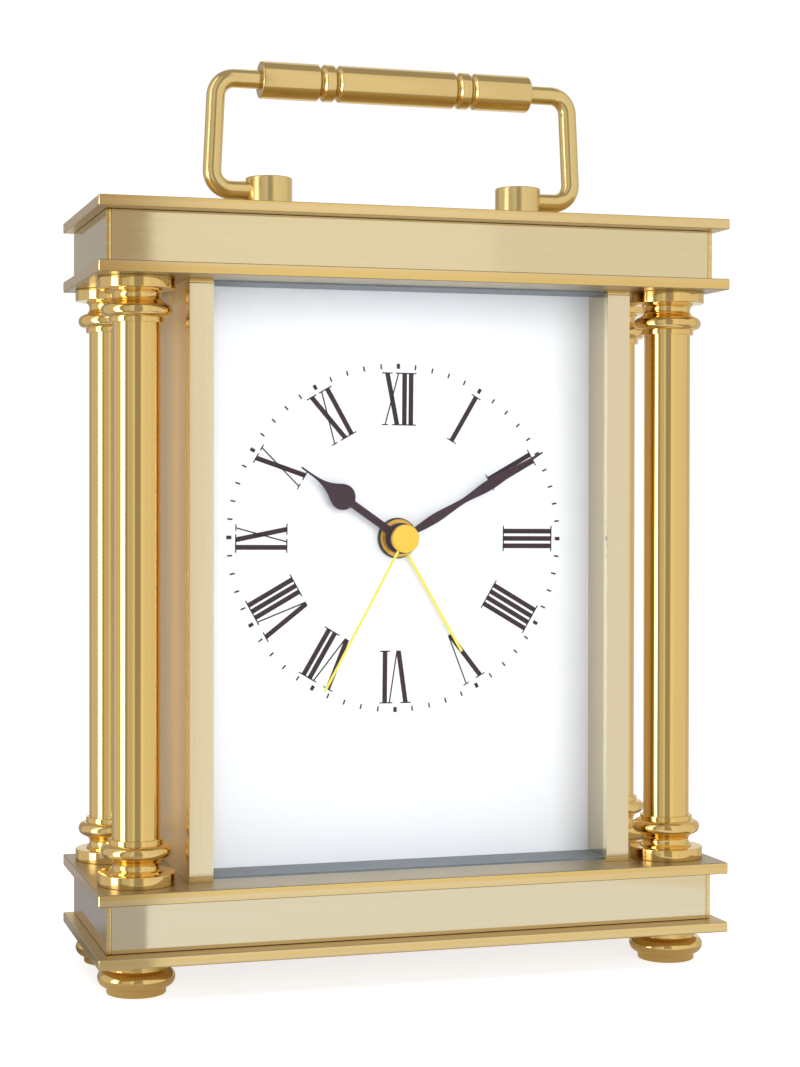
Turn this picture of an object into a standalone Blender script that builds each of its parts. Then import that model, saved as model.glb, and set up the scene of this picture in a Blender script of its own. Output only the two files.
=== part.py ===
"""Brass mantel clock with four turned pillars, a folding carry handle and a quartz alarm movement.

Units are metres. +Z is up, the dial faces -Y, and the origin is the middle of the footprint on the shelf.
"""
import math

import bmesh
import bpy
from mathutils import Matrix, Vector

# ---- driving dimensions ----------------------------------------------------
plate_width = 0.1350            # the four square-edged plates, across X
plate_depth = 0.0492            # and across Y
plate_thick = 0.0023
joint_gap = 0.0003              # air between pieces that rest on each other
case_setback = 0.0014           # pillars, bands and case stand this far behind the plates' middle

foot_height = 0.0069
base_plate_z = 0.0072           # underside of the lowest plate
shelf_z = 0.0220                # top face of the base, which the pillars stand on
ceiling_z = 0.1443              # underside of the cornice, which the pillars carry
top_z = 0.1594                  # top face of the cornice

band_width = 0.1307
band_depth = 0.0437
band_wall = 0.0018

pillar_x = 0.05805              # pillar axes from the middle
pillar_half_span = 0.0148
shaft_radius = 0.00494
disc_radius = 0.00787
torus_radius = 0.00725
fillet_radius = 0.0056
capital_height = 0.0090

stile_outer = 0.04795           # half width of the glazed case
stile_inner = 0.04285           # half width of its front opening
front_face_y = -0.0166
stile_thick = 0.0032
glass_front_y = -0.0146
glass_thick = 0.0018
wall_inner = 0.0441             # dial rails' inner face, from the middle
dial_front_y = -0.0030
dial_thick = 0.0012
panel_thick = 0.00125
case_back_y = 0.0189

dial_centre_z = 0.0912          # hands' axis
movement_half = 0.0280          # quartz movement, half its square side
movement_front_y = -0.0015
movement_rim_y = 0.0125
movement_back_y = 0.0140
battery_radius = 0.0071
battery_length = 0.0505
battery_axis = (0.0, 0.0072, 0.0722)

post_x = 0.02785                # handle posts
handle_y = -0.0016
post_radius = 0.00494
post_top_z = 0.1671
pivot_z = 0.1641
rod_radius = 0.00196
arm_low_x = 0.0401              # handle arms lean in a little towards the grip
arm_high_x = 0.0393
grip_z = 0.1877
grip_radius = 0.00392
grip_half = 0.0298
bend_radius = 0.0044

round_sides = 24                # facets of a large turned piece
small_sides = 16                # facets of a small one


# ---- materials -------------------------------------------------------------
def make_material(name, color, roughness, metallic, alpha=1.0):
    material = bpy.data.materials.new(name)
    material.use_nodes = True
    shader = material.node_tree.nodes["Principled BSDF"]
    shader.inputs["Base Color"].default_value = (*color, 1.0)
    shader.inputs["Roughness"].default_value = roughness
    shader.inputs["Metallic"].default_value = metallic
    shader.inputs["Alpha"].default_value = alpha
    return material


def make_materials():
    return {
        "polished_brass": make_material("polished_brass", (0.83, 0.60, 0.25), 0.10, 1.0),
        "satin_brass": make_material("satin_brass", (0.80, 0.66, 0.38), 0.28, 1.0),
        "glass": make_material("glass", (0.90, 0.95, 0.96), 0.02, 0.0, 0.2),
        "dial_enamel": make_material("dial_enamel", (0.90, 0.90, 0.92), 0.35, 0.0),
        "hand_black": make_material("hand_black", (0.035, 0.022, 0.032), 0.40, 0.2),
        "hand_gold": make_material("hand_gold", (0.95, 0.66, 0.08), 0.30, 0.7),
        "movement_plastic": make_material("movement_plastic", (0.03, 0.03, 0.035), 0.50, 0.0),
        "wheel_plastic": make_material("wheel_plastic", (0.85, 0.84, 0.78), 0.45, 0.0),
        "contact_steel": make_material("contact_steel", (0.70, 0.70, 0.70), 0.25, 1.0),
        "circuit_green": make_material("circuit_green", (0.02, 0.20, 0.08), 0.45, 0.0),
        "coil_copper": make_material("coil_copper", (0.60, 0.26, 0.12), 0.35, 1.0),
        "battery_wrap": make_material("battery_wrap", (0.10, 0.12, 0.16), 0.35, 0.0),
    }


# ---- building blocks -------------------------------------------------------
def add_object(name, mesh, material, origin=(0.0, 0.0, 0.0)):
    mesh.transform(Matrix.Translation(-Vector(origin)))
    thing = bpy.data.objects.new(name, mesh)
    thing.location = origin
    bpy.context.collection.objects.link(thing)
    if material is not None:
        mesh.materials.append(material)
    return thing


def finish_mesh(name, bm, smooth=False):
    bmesh.ops.recalc_face_normals(bm, faces=bm.faces)
    mesh = bpy.data.meshes.new(name)
    bm.to_mesh(mesh)
    bm.free()
    if smooth:
        mesh.shade_smooth()
        mesh.set_sharp_from_angle(angle=math.radians(35))
    return mesh


def box(name, low, high, material, origin=(0.0, 0.0, 0.0)):
    bm = bmesh.new()
    bmesh.ops.create_cube(bm, size=1.0)
    size = [high[i] - low[i] for i in range(3)]
    middle = [(high[i] + low[i]) / 2 for i in range(3)]
    bmesh.ops.scale(bm, vec=size, verts=bm.verts)
    bmesh.ops.translate(bm, vec=middle, verts=bm.verts)
    return add_object(name, finish_mesh(name, bm), material, origin)


def axis_frame(axis):
    """Matrix that turns +Z onto the named axis."""
    if axis == "X":
        return Matrix.Rotation(math.radians(90), 4, "Y")
    if axis == "Y":
        return Matrix.Rotation(math.radians(-90), 4, "X")
    return Matrix.Identity(4)


def turned(name, profile, axis, centre, material, sides=round_sides, bore=None, origin=None):
    """A turned piece: profile is (radius, distance along the axis) from one end to the other.

    A bore makes it a tube: its wall then runs from the first profile point back to the last.
    """
    bm = bmesh.new()
    points = list(profile)
    if bore is not None:
        points = [(bore, profile[0][1])] + points + [(bore, profile[-1][1])]
    rings = []
    for radius, along in points:
        ring = []
        for i in range(sides):
            turn = 2 * math.pi * (i + 0.5) / sides
            ring.append(bm.verts.new((radius * math.cos(turn), radius * math.sin(turn), along)))
        rings.append(ring)
    pairs = list(zip(rings, rings[1:]))
    if bore is not None:
        pairs.append((rings[-1], rings[0]))
    for lower, upper in pairs:
        for i in range(sides):
            k = (i + 1) % sides
            bm.faces.new((lower[i], lower[k], upper[k], upper[i]))
    if bore is None:
        bm.faces.new(rings[0])
        bm.faces.new(rings[-1])
    bmesh.ops.transform(bm, matrix=Matrix.Translation(centre) @ axis_frame(axis), verts=bm.verts)
    mesh = finish_mesh(name, bm, smooth=True)
    return add_object(name, mesh, material, centre if origin is None else origin)


def rod(name, axis, start, length, radius, material, sides=small_sides, bore=None, origin=None):
    return turned(name, [(radius, 0.0), (radius, length)], axis, start, material, sides, bore, origin)


def hidden(thing):
    thing.hide_render = True
    thing.display_type = "WIRE"
    return thing


def cut(target, tool, operation="DIFFERENCE"):
    hidden(tool)
    modifier = target.modifiers.new(operation.lower() + "_" + tool.name, "BOOLEAN")
    modifier.object = tool
    modifier.operation = operation
    modifier.solver = "EXACT"


def arc(centre, radius, start_deg, end_deg, steps):
    """Points (u, v) on an arc, both ends included."""
    points = []
    for i in range(steps + 1):
        turn = math.radians(start_deg + (end_deg - start_deg) * i / steps)
        points.append((centre[0] + radius * math.cos(turn), centre[1] + radius * math.sin(turn)))
    return points


# ---- cornice and base ------------------------------------------------------
def make_plate(name, bottom_z, brass):
    half_x = plate_width / 2
    half_y = plate_depth / 2
    return box(name, (-half_x, -half_y, bottom_z), (half_x, half_y, bottom_z + plate_thick), brass)


def make_band(name, bottom_z, top, brass):
    """A folded brass cover, open underneath."""
    low = Vector((-band_width / 2, case_setback - band_depth / 2, bottom_z))
    high = Vector((band_width / 2, case_setback + band_depth / 2, top))
    band = box(name, low, high, brass)
    wall = Vector((band_wall, band_wall, 0.0))
    floor = Vector((0.0, 0.0, 0.001))
    cut(band, box(name + "_hollow", low + wall - floor, high - wall - Vector((0, 0, band_wall)), None))


def make_plates(brass, satin):
    make_plate("base_bottom_plate", base_plate_z, brass)
    base_top = make_plate("base_top_plate", shelf_z - plate_thick, brass)
    cornice_lower = make_plate("cornice_lower_plate", ceiling_z, brass)
    make_plate("cornice_top_plate", top_z - plate_thick, brass)
    make_band("base_band", base_plate_z + plate_thick + joint_gap, shelf_z - plate_thick - joint_gap, satin)
    make_band("cornice_band", ceiling_z + plate_thick + joint_gap, top_z - plate_thick - joint_gap, satin)
    return base_top, cornice_lower


# ---- pillars and feet ------------------------------------------------------
def capital_profile():
    """Disc, scotia, torus and fillet, from the plate towards the shaft."""
    disc_h = 0.0026
    neck_h = 0.0027
    torus_h = 0.0027
    edge = 0.0003
    neck = 0.0049
    points = [(disc_radius - edge, 0.0), (disc_radius, edge)]
    points += [(disc_radius, disc_h - edge), (disc_radius - edge, disc_h)]
    points += [(neck + 0.0005, disc_h), (neck, disc_h + neck_h / 2), (neck + 0.0005, disc_h + neck_h)]
    torus_r = torus_h / 2
    middle = disc_h + neck_h + torus_r
    points += arc((torus_radius - torus_r, middle), torus_r, -75, 75, 4)
    points += [(fillet_radius, disc_h + neck_h + torus_h), (fillet_radius, capital_height)]
    return points


def foot_profile():
    """Ring, bulge and collar of a bun foot, from the shelf up."""
    ring = 0.00604
    ring_h = 0.0014
    widest = 0.00787
    points = [(ring - 0.0004, 0.0), (ring, 0.0004), (ring, ring_h)]
    for i in range(1, 6):
        turn = math.radians(-58 + 116 * i / 5)
        points.append((0.0050 + (widest - 0.0050) * math.cos(turn), 0.0034 + 0.0024 * math.sin(turn)))
    points += [(0.0061, 0.0057), (0.0061, foot_height)]
    return points


def make_pillars(brass):
    lift = shelf_z + joint_gap
    hang = ceiling_z - joint_gap
    upward = capital_profile()
    downward = [(radius, -along) for radius, along in upward]
    shaft_low = lift + capital_height + joint_gap
    shaft_high = hang - capital_height - joint_gap
    for depth_word, y in (("front", case_setback - pillar_half_span), ("rear", case_setback + pillar_half_span)):
        for side_word, x in (("left", -pillar_x), ("right", pillar_x)):
            tag = depth_word + "_" + side_word
            turned("pillar_base_" + tag, upward, "Z", (x, y, lift), brass, 20)
            turned("pillar_capital_" + tag, downward, "Z", (x, y, hang), brass, 20)
            shaft = [(shaft_radius, 0.0), (shaft_radius, shaft_high - shaft_low)]
            turned("pillar_shaft_" + tag, shaft, "Z", (x, y, shaft_low), brass, round_sides)
            turned("foot_" + tag, foot_profile(), "Z", (x, y, 0.0), brass, 20)


# ---- glazed case -----------------------------------------------------------
def make_case(brass, satin, glass, enamel):
    low_z = shelf_z + joint_gap
    high_z = ceiling_z - joint_gap
    rail_back_y = dial_front_y - joint_gap
    rail_front_y = glass_front_y + glass_thick + joint_gap
    glass_half = wall_inner + 0.0001
    rebate_half = glass_half + joint_gap
    for side_word, side in (("left", -1.0), ("right", 1.0)):
        def slab(name, near, far, front, back, material):
            xs = sorted((side * near, side * far))
            return box(name, (xs[0], front, low_z), (xs[1], back, high_z), material)

        stile = slab(side_word + "_stile", stile_inner, stile_outer,
                     front_face_y, front_face_y + stile_thick, satin)
        rebate = slab(side_word + "_rebate", stile_inner - 0.001, rebate_half,
                      glass_front_y - joint_gap, front_face_y + stile_thick + 0.001, None)
        rebate.scale = (1.0, 1.0, 1.2)
        rebate.location.z = -0.1 * (low_z + high_z)
        cut(stile, rebate)
        slab(side_word + "_side_panel", stile_outer - panel_thick, stile_outer,
             front_face_y + stile_thick + joint_gap, case_back_y, brass)
        slab(side_word + "_dial_rail", wall_inner, stile_outer - panel_thick - joint_gap,
             rail_front_y, rail_back_y, brass)
    box("front_glass", (-glass_half, glass_front_y, low_z),
        (glass_half, glass_front_y + glass_thick, high_z), glass)
    dial_half = stile_outer - panel_thick - joint_gap
    dial = box("dial_plate", (-dial_half, dial_front_y, low_z),
               (dial_half, dial_front_y + dial_thick, high_z), enamel)
    hole_start = (0.0, dial_front_y - 0.001, dial_centre_z)
    cut(dial, rod("dial_hole", "Y", hole_start, dial_thick + 0.002, 0.0032, None))


# ---- rear door -------------------------------------------------------------
def make_door(base_top, cornice_lower, brass, steel):
    door_thick = 0.0015
    front_y = case_back_y - door_thick
    hinge_x = 0.0448
    hinge = (hinge_x, front_y - 0.0001, 0.0)
    knuckle = 0.0015
    pin_radius = 0.0006
    bore_radius = 0.0009
    pin_depth = 0.0060
    pin_in_plate = 0.0018
    free_edge_x = -(stile_outer - panel_thick - 0.0005)
    low_z = shelf_z + 0.0006
    high_z = ceiling_z - 0.0006
    door = box("rear_door", (free_edge_x, front_y, low_z), (hinge_x, case_back_y, high_z), brass, hinge)
    knuckle_start = (hinge_x, hinge[1], low_z)
    cut(door, rod("door_knuckle", "Z", knuckle_start, high_z - low_z, knuckle, None, 12), "UNION")
    for word, plate, end_z, inward in (("bottom", base_top, shelf_z, 1.0),
                                       ("top", cornice_lower, ceiling_z, -1.0)):
        pin_low = min(end_z - inward * pin_in_plate, end_z + inward * pin_depth)
        pin_length = pin_in_plate + pin_depth
        rod("door_pin_" + word, "Z", (hinge_x, hinge[1], pin_low), pin_length, pin_radius, steel, 12)
        bore_low = pin_low - joint_gap
        bore_length = pin_length + 2 * joint_gap
        bore_start = (hinge_x, hinge[1], bore_low)
        cut(door, rod("door_bore_" + word, "Z", bore_start, bore_length, bore_radius, None, 12))
        cut(plate, rod("plate_bore_" + word, "Z", bore_start, bore_length, bore_radius, None, 12))
    knob = [(0.0016, 0.0), (0.0013, 0.0012), (0.0022, 0.0018)]
    knob += arc((0.0010, 0.0030), 0.0015, -40, 80, 4)
    turned("rear_door_knob", knob, "Y", (-0.0400, case_back_y + joint_gap, 0.0832), brass, small_sides)


# ---- carry handle ----------------------------------------------------------
def handle_route():
    """The bail's centre line in the XZ plane, from the left post to the right one."""
    entry = post_x - 0.0013

    def corner(x, z, start_deg, end_deg):
        return arc((x, z), bend_radius, start_deg, end_deg, 5)

    left = [(-entry, pivot_z)]
    left += corner(-arm_low_x + bend_radius, pivot_z + bend_radius, 270, 180)
    left += corner(-arm_high_x + bend_radius, grip_z - bend_radius, 180, 90)
    left += [(-grip_half, grip_z)]
    return left + [(-x, z) for x, z in reversed(left)]


def make_bail(brass, origin):
    curve = bpy.data.curves.new("handle_bail", "CURVE")
    curve.dimensions = "3D"
    curve.bevel_depth = rod_radius
    curve.bevel_resolution = 2
    curve.resolution_u = 1
    curve.render_resolution_u = 0
    curve.use_fill_caps = True
    route = handle_route()
    spline = curve.splines.new("POLY")
    spline.points.add(len(route) - 1)
    for point, (x, z) in zip(spline.points, route):
        point.co = (x - origin[0], handle_y - origin[1], z - origin[2], 1.0)
    curve.materials.append(brass)
    bail = bpy.data.objects.new("handle_bail", curve)
    bail.location = origin
    bpy.context.collection.objects.link(bail)


def grip_profile():
    """A round grip with two beads, each between two V grooves."""
    bead_x = 0.0151
    bead_half = 0.00205
    flank = 0.0010
    groove_radius = grip_radius - 0.0007
    chamfer = 0.0006

    def bead(middle):
        points = []
        for groove in (middle - bead_half, middle + bead_half):
            points += [(grip_radius, groove - flank), (groove_radius, groove), (grip_radius, groove + flank)]
        return points

    points = [(grip_radius - chamfer, -grip_half), (grip_radius, -grip_half + chamfer)]
    points += bead(-bead_x) + bead(bead_x)
    points += [(grip_radius, grip_half - chamfer), (grip_radius - chamfer, grip_half)]
    return points


def make_handle(brass):
    origin = (0.0, handle_y, pivot_z)
    make_bail(brass, origin)
    grip_bore = rod_radius + joint_gap
    turned("handle_grip", grip_profile(), "X", (0.0, handle_y, grip_z), brass, 20, grip_bore, origin)
    start_z = top_z + joint_gap
    height = post_top_z - start_z
    edge = 0.0005
    profile = [(post_radius, 0.0), (post_radius, height - edge), (post_radius - edge, height)]
    for word, side in (("left", -1.0), ("right", 1.0)):
        post = turned("handle_post_" + word, profile, "Z", (side * post_x, handle_y, start_z), brass)
        bore_end = post_x - 0.0013 - joint_gap
        bore_length = post_radius + 0.004
        bore_x = bore_end if side > 0 else -bore_end - bore_length
        bore = rod("post_bore_" + word, "X", (bore_x, handle_y, pivot_z), bore_length,
                   rod_radius + joint_gap, None)
        cut(post, bore)


# ---- hands -----------------------------------------------------------------
hour_outline = ((0.0, 0.81), (12.1, 0.81), (12.6, 1.6), (13.5, 2.4), (14.7, 2.75), (15.8, 2.65),
                (17.0, 2.05), (18.4, 1.2), (20.2, 0.6), (22.2, 0.32), (26.4, 0.22))
minute_outline = ((0.0, 0.5), (3.6, 0.55), (6.0, 0.85), (8.2, 0.92), (12.0, 0.68), (15.8, 0.46),
                  (19.5, 0.8), (23.0, 1.15), (26.5, 0.95), (31.0, 0.5), (36.7, 0.2))
second_outline = ((0.0, 0.33), (36.4, 0.27))
alarm_outline = ((0.0, 0.38), (28.3, 0.36))


def blade_mesh(name, outline, clock_deg, front_y, back_y):
    """A flat blade: outline is (distance from the axis, half width) in millimetres."""
    turn = math.radians(clock_deg)
    along = Vector((math.sin(turn), 0.0, math.cos(turn)))
    across = Vector((math.cos(turn), 0.0, -math.sin(turn)))
    edge = [(r, w) for r, w in outline] + [(r, -w) for r, w in reversed(outline)]
    bm = bmesh.new()
    faces = []
    for y in (front_y, back_y):
        ring = []
        for r, w in edge:
            spot = (along * r + across * w) * 0.001 + Vector((0.0, y, dial_centre_z))
            ring.append(bm.verts.new(spot))
        faces.append(ring)
    bm.faces.new(faces[0])
    bm.faces.new(faces[1])
    count = len(edge)
    for i in range(count):
        k = (i + 1) % count
        bm.faces.new((faces[0][i], faces[0][k], faces[1][k], faces[1][i]))
    return finish_mesh(name, bm)


def make_hand(name, outline, clock_deg, blade_y, hub, bore, material):
    """blade_y and hub are (front, back) in Y; hub also has its radius."""
    hub_front, hub_back, hub_radius = hub
    origin = (0.0, 0.0, dial_centre_z)
    mesh = blade_mesh(name, outline, clock_deg, blade_y[0], blade_y[1])
    hand = add_object(name, mesh, material, origin)
    hub_start = (0.0, hub_front, dial_centre_z)
    disc = rod(name + "_hub", "Y", hub_start, hub_back - hub_front, hub_radius, None, 20)
    cut(hand, disc, "UNION")
    if bore:
        bore_start = (0.0, hub_front - 0.001, dial_centre_z)
        cut(hand, rod(name + "_bore", "Y", bore_start, hub_back - hub_front + 0.002, bore, None))
    return hand


def make_hands(black, gold):
    make_hand("alarm_hand", alarm_outline, 149.7, (-0.0045, -0.0042), (-0.0049, -0.0042, 0.0041), 0.00225, gold)
    make_hand("hour_hand", hour_outline, 304.75, (-0.0057, -0.0054), (-0.0060, -0.0053, 0.00325), 0.0016, black)
    make_hand("minute_hand", minute_outline, 59.8, (-0.0072, -0.0069), (-0.0075, -0.0067, 0.0027), 0.0010, black)
    make_hand("second_hand", second_outline, 208.7, (-0.0090, -0.0087), (-0.0096, -0.0086, 0.0030), None, gold)


# ---- quartz movement -------------------------------------------------------
motion_reach = 0.0115           # motion wheel's arbor from the hands' axis
alarm_reach = 0.0120            # alarm setting arbor from the hands' axis
step_reach = 0.0113             # step wheel's arbor from the hands' axis


def offset_point(reach, clock_deg, y):
    turn = math.radians(clock_deg)
    return (reach * math.sin(turn), y, dial_centre_z + reach * math.cos(turn))


def make_movement_case(plastic, dark_brass):
    wall = 0.0015
    floor = 0.0012
    low_z = dial_centre_z - movement_half
    high_z = dial_centre_z + movement_half
    shelf = 0.0800              # wall between the battery bay and the wheels
    housing = box("movement_housing", (-movement_half, movement_front_y, low_z),
                  (movement_half, movement_rim_y, high_z), plastic)
    inside_front = movement_front_y + floor
    open_back = movement_rim_y + 0.002
    cut(housing, box("wheel_space", (-movement_half + wall, inside_front, shelf + wall),
                     (movement_half - wall, open_back, high_z - wall), None))
    cut(housing, box("battery_space", (-movement_half + wall, inside_front, low_z + wall),
                     (movement_half - wall, open_back, shelf), None))
    hole_start = (0.0, movement_front_y - 0.001, dial_centre_z)
    cut(housing, rod("housing_hole", "Y", hole_start, floor + 0.002, 0.0032, None))

    cover = box("movement_back_cover", (-movement_half, movement_rim_y + joint_gap, shelf),
                (movement_half, movement_back_y, high_z), plastic)
    for word, reach, clock_deg in (("time", motion_reach, 45.0), ("alarm", alarm_reach, 315.0)):
        start = offset_point(reach, clock_deg, movement_rim_y - 0.001)
        cut(cover, rod(word + "_knob_hole", "Y", start, 0.004, 0.0016, None))
    cut(cover, box("switch_slot", (-0.0235, movement_rim_y - 0.001, 0.1110),
                   (-0.0145, movement_back_y + 0.001, 0.1132), None))

    bush_start = (0.0, dial_front_y - 0.0009, dial_centre_z)
    rod("centre_bush", "Y", bush_start, 0.0038, 0.0029, dark_brass, small_sides, 0.0022)
    nut_start = (0.0, dial_front_y - 0.0009, dial_centre_z)
    rod("dial_nut", "Y", nut_start, 0.0006, 0.00445, plastic, round_sides, 0.0032)


def make_arbor(name, parts, centre, material, bore, origin=None):
    """Concentric discs on one arbor: parts is (radius, front Y, back Y), front to back, touching."""
    profile = []
    for radius, front, back in parts:
        profile += [(radius, front), (radius, back)]
    turned(name, profile, "Y", (centre[0], 0.0, centre[2]), material, small_sides, bore, origin)


def make_wheels(wheel, steel):
    axis = (0.0, 0.0, dial_centre_z)
    make_arbor("alarm_wheel", [(0.00195, -0.0049, 0.0002), (0.0090, 0.0002, 0.0012)], axis, wheel, 0.00155)
    make_arbor("hour_wheel", [(0.00135, -0.0060, 0.0017), (0.00896, 0.0017, 0.0027)], axis, wheel, 0.0010)
    make_arbor("cannon_pinion", [(0.00080, -0.0075, 0.0032), (0.0028, 0.0032, 0.0042)], axis, steel, 0.0005)
    make_arbor("seconds_wheel", [(0.00030, -0.0083, 0.0050), (0.0060, 0.0050, 0.0060), (0.0005, 0.0060, 0.0105)],
               axis, steel, None)
    motion = offset_point(motion_reach, 45.0, 0.0)
    make_arbor("motion_wheel", [(0.00224, 0.0017, 0.0027), (0.0009, 0.0027, 0.0032), (0.0084, 0.0032, 0.0042),
                                (0.0011, 0.0042, 0.0141)], motion, wheel, None)
    step = offset_point(step_reach, 270.0, 0.0)
    make_arbor("step_wheel", [(0.0006, 0.0030, 0.0050), (0.0050, 0.0050, 0.0060), (0.0006, 0.0060, 0.0105)],
               step, wheel, None)


def knob_profile(back_y):
    """A finger knob with a dished rim, its face towards the rear door."""
    return [(0.0040, back_y), (0.0045, back_y + 0.0004), (0.0045, back_y + 0.0020), (0.0041, back_y + 0.0024)]


def make_setting_parts(plastic, wheel):
    knob_y = movement_back_y + 0.0004
    motion = offset_point(motion_reach, 45.0, 0.0)
    turned("time_set_knob", knob_profile(knob_y), "Y", motion, plastic, round_sides)
    alarm = offset_point(alarm_reach, 315.0, 0.0)
    shaft = [(0.0027, 0.0002), (0.0027, 0.0012), (0.0011, 0.0012), (0.0011, knob_y)]
    turned("alarm_set_knob", shaft + knob_profile(knob_y), "Y", alarm, plastic, round_sides)
    slider = box("alarm_switch", (-0.0232, movement_rim_y - 0.0015, 0.1113),
                 (-0.0192, movement_back_y + 0.0004, 0.1129), wheel)
    cut(slider, box("switch_cap", (-0.0237, movement_back_y + 0.0003, 0.1105),
                    (-0.0187, movement_back_y + 0.0016, 0.1137), None), "UNION")


def make_electrics(steel, green, copper, wrap):
    x, y, z = battery_axis
    half = battery_length / 2
    nub = 0.0010
    cell = [(0.0027, -half), (0.0027, -half + nub), (battery_radius, -half + nub), (battery_radius, half)]
    turned("battery", cell, "X", (x, y, z), wrap, round_sides)
    for word, side in (("positive", -1.0), ("negative", 1.0)):
        xs = sorted((side * (half + joint_gap), side * (half + 0.0008)))
        box("contact_" + word, (xs[0], y - 0.0045, z - 0.0045), (xs[1], y + 0.0045, z + 0.0045), steel)
    box("circuit_board", (-0.0230, 0.0085, 0.1030), (0.0230, 0.0095, 0.1100), green)
    rod("motor_coil", "X", (-0.0100, 0.0066, 0.1135), 0.0200, 0.0032, copper)


def main():
    for old in list(bpy.data.objects):
        bpy.data.objects.remove(old, do_unlink=True)
    finish = make_materials()
    brass = finish["polished_brass"]
    satin = finish["satin_brass"]
    base_top, cornice_lower = make_plates(brass, satin)
    make_pillars(brass)
    make_case(brass, satin, finish["glass"], finish["dial_enamel"])
    make_door(base_top, cornice_lower, brass, finish["contact_steel"])
    make_handle(brass)
    make_hands(finish["hand_black"], finish["hand_gold"])
    make_movement_case(finish["movement_plastic"], brass)
    make_wheels(finish["wheel_plastic"], finish["contact_steel"])
    make_setting_parts(finish["movement_plastic"], finish["wheel_plastic"])
    make_electrics(finish["contact_steel"], finish["circuit_green"], finish["coil_copper"], finish["battery_wrap"])


main()
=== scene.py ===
import math

import bmesh
import bpy
from mathutils import Matrix, Vector


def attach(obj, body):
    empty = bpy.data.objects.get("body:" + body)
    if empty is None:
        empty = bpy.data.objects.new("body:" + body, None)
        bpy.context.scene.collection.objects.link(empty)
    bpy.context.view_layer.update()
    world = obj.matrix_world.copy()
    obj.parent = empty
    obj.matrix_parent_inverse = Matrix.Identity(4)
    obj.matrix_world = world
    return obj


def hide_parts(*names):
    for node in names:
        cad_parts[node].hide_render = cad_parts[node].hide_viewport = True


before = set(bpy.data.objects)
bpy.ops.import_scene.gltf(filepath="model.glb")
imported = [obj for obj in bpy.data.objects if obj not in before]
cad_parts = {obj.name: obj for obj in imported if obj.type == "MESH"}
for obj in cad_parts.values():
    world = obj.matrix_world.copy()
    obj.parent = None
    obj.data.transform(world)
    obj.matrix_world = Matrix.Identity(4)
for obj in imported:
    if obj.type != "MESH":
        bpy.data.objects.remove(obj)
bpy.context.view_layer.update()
scene = bpy.context.scene
mm = 0.001
print("frame loaded:", len(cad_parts), "nodes")


# shader helpers
class Wire:  # a value travelling between shader nodes
    def __init__(self, finish, socket):
        self.finish = finish
        self.socket = socket

    def maths(self, operation, other, swapped=False):
        first, second = (other, self) if swapped else (self, other)
        return self.finish.node("ShaderNodeMath", {"operation": operation}, {0: first, 1: second})

    def __add__(self, other):
        return self.maths("ADD", other)

    def __sub__(self, other):
        return self.maths("SUBTRACT", other)

    def __rsub__(self, other):
        return self.maths("SUBTRACT", other, True)

    def __mul__(self, other):
        return self.maths("MULTIPLY", other)

    def __truediv__(self, other):
        return self.maths("DIVIDE", other)

    def __rtruediv__(self, other):
        return self.maths("DIVIDE", other, True)

    def __gt__(self, other):
        return self.maths("GREATER_THAN", other)

    def __lt__(self, other):
        return self.maths("LESS_THAN", other)

    __radd__ = __add__
    __rmul__ = __mul__


class Finish:  # one material and its nodes
    def __init__(self, name):
        self.material = bpy.data.materials.new(name)
        self.material.use_nodes = True
        self.nodes = self.material.node_tree.nodes
        self.links = self.material.node_tree.links
        self.shader = self.nodes["Principled BSDF"]
        self.place = None

    def node(self, kind, settings=None, inputs=None, output=0):
        made = self.nodes.new(kind)
        for key, value in (settings or {}).items():
            if key == "stops":
                ramp = made.color_ramp
                while len(ramp.elements) < len(value):
                    ramp.elements.new(0.5)
                for element, (position, color) in zip(ramp.elements, value):
                    element.position = position
                    element.color = (*color, 1.0)
            else:
                setattr(made, key, value)
        for key, value in (inputs or {}).items():
            self.plug(made.inputs[key], value)
        return Wire(self, made.outputs[output])

    def plug(self, socket, value):
        if isinstance(value, Wire):
            self.links.new(value.socket, socket)
        else:
            socket.default_value = value

    def set(self, **sockets):  # names with underscores for spaces
        for key, value in sockets.items():
            self.plug(self.shader.inputs[key.replace("_", " ")], value)
        return self

    def spot(self, scale):  # object position, stretched by scale
        if self.place is None:
            self.place = self.node("ShaderNodeTexCoord", output="Object")
        return self.node("ShaderNodeMapping", {"vector_type": "POINT"},
                         {"Vector": self.place, "Scale": scale})

    def noise(self, scale, detail=3.0, rough=0.5):
        return self.node("ShaderNodeTexNoise", {}, {
            "Vector": self.spot(scale), "Scale": 1.0, "Detail": detail, "Roughness": rough})

    def blend(self, factor, low, high):  # two colours mixed by a value
        made = self.nodes.new("ShaderNodeMix")
        made.data_type = "RGBA"
        self.plug(made.inputs[0], factor)
        self.plug(made.inputs[6], (*low, 1.0) if isinstance(low, tuple) else low)
        self.plug(made.inputs[7], (*high, 1.0) if isinstance(high, tuple) else high)
        return Wire(self, made.outputs[2])

    def bump(self, height, strength, distance):
        return self.node("ShaderNodeBump", {}, {"Height": height, "Strength": strength, "Distance": distance})


# finishes
brassLook = {
    "rich": (0.90, 0.64, 0.235),    # pillars and plates
    "olive": (0.86, 0.66, 0.285),   # handle
    "pale": (0.86, 0.735, 0.455),   # bands
    "straw": (0.90, 0.78, 0.53),    # stiles, and the pale drawn lines
    "tarnish": (0.74, 0.47, 0.15),
    "paintedShade": (0.40, 0.34, 0.24),     # painted shade on the level faces of the plates
    "polish": 0.055,                # roughness of the turned shafts
    "lineRough": 0.9,               # change of roughness along the brushing marks
    "fleckRough": 0.03,
    "levelRough": 0.26,              # roughness added to the level faces
    "levelFrom": 0.7,               # how far up or down a level face has to point
    "drawnScale": 0.4,              # drawn lines against brushing marks
    "drawnFrom": 0.42}


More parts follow.
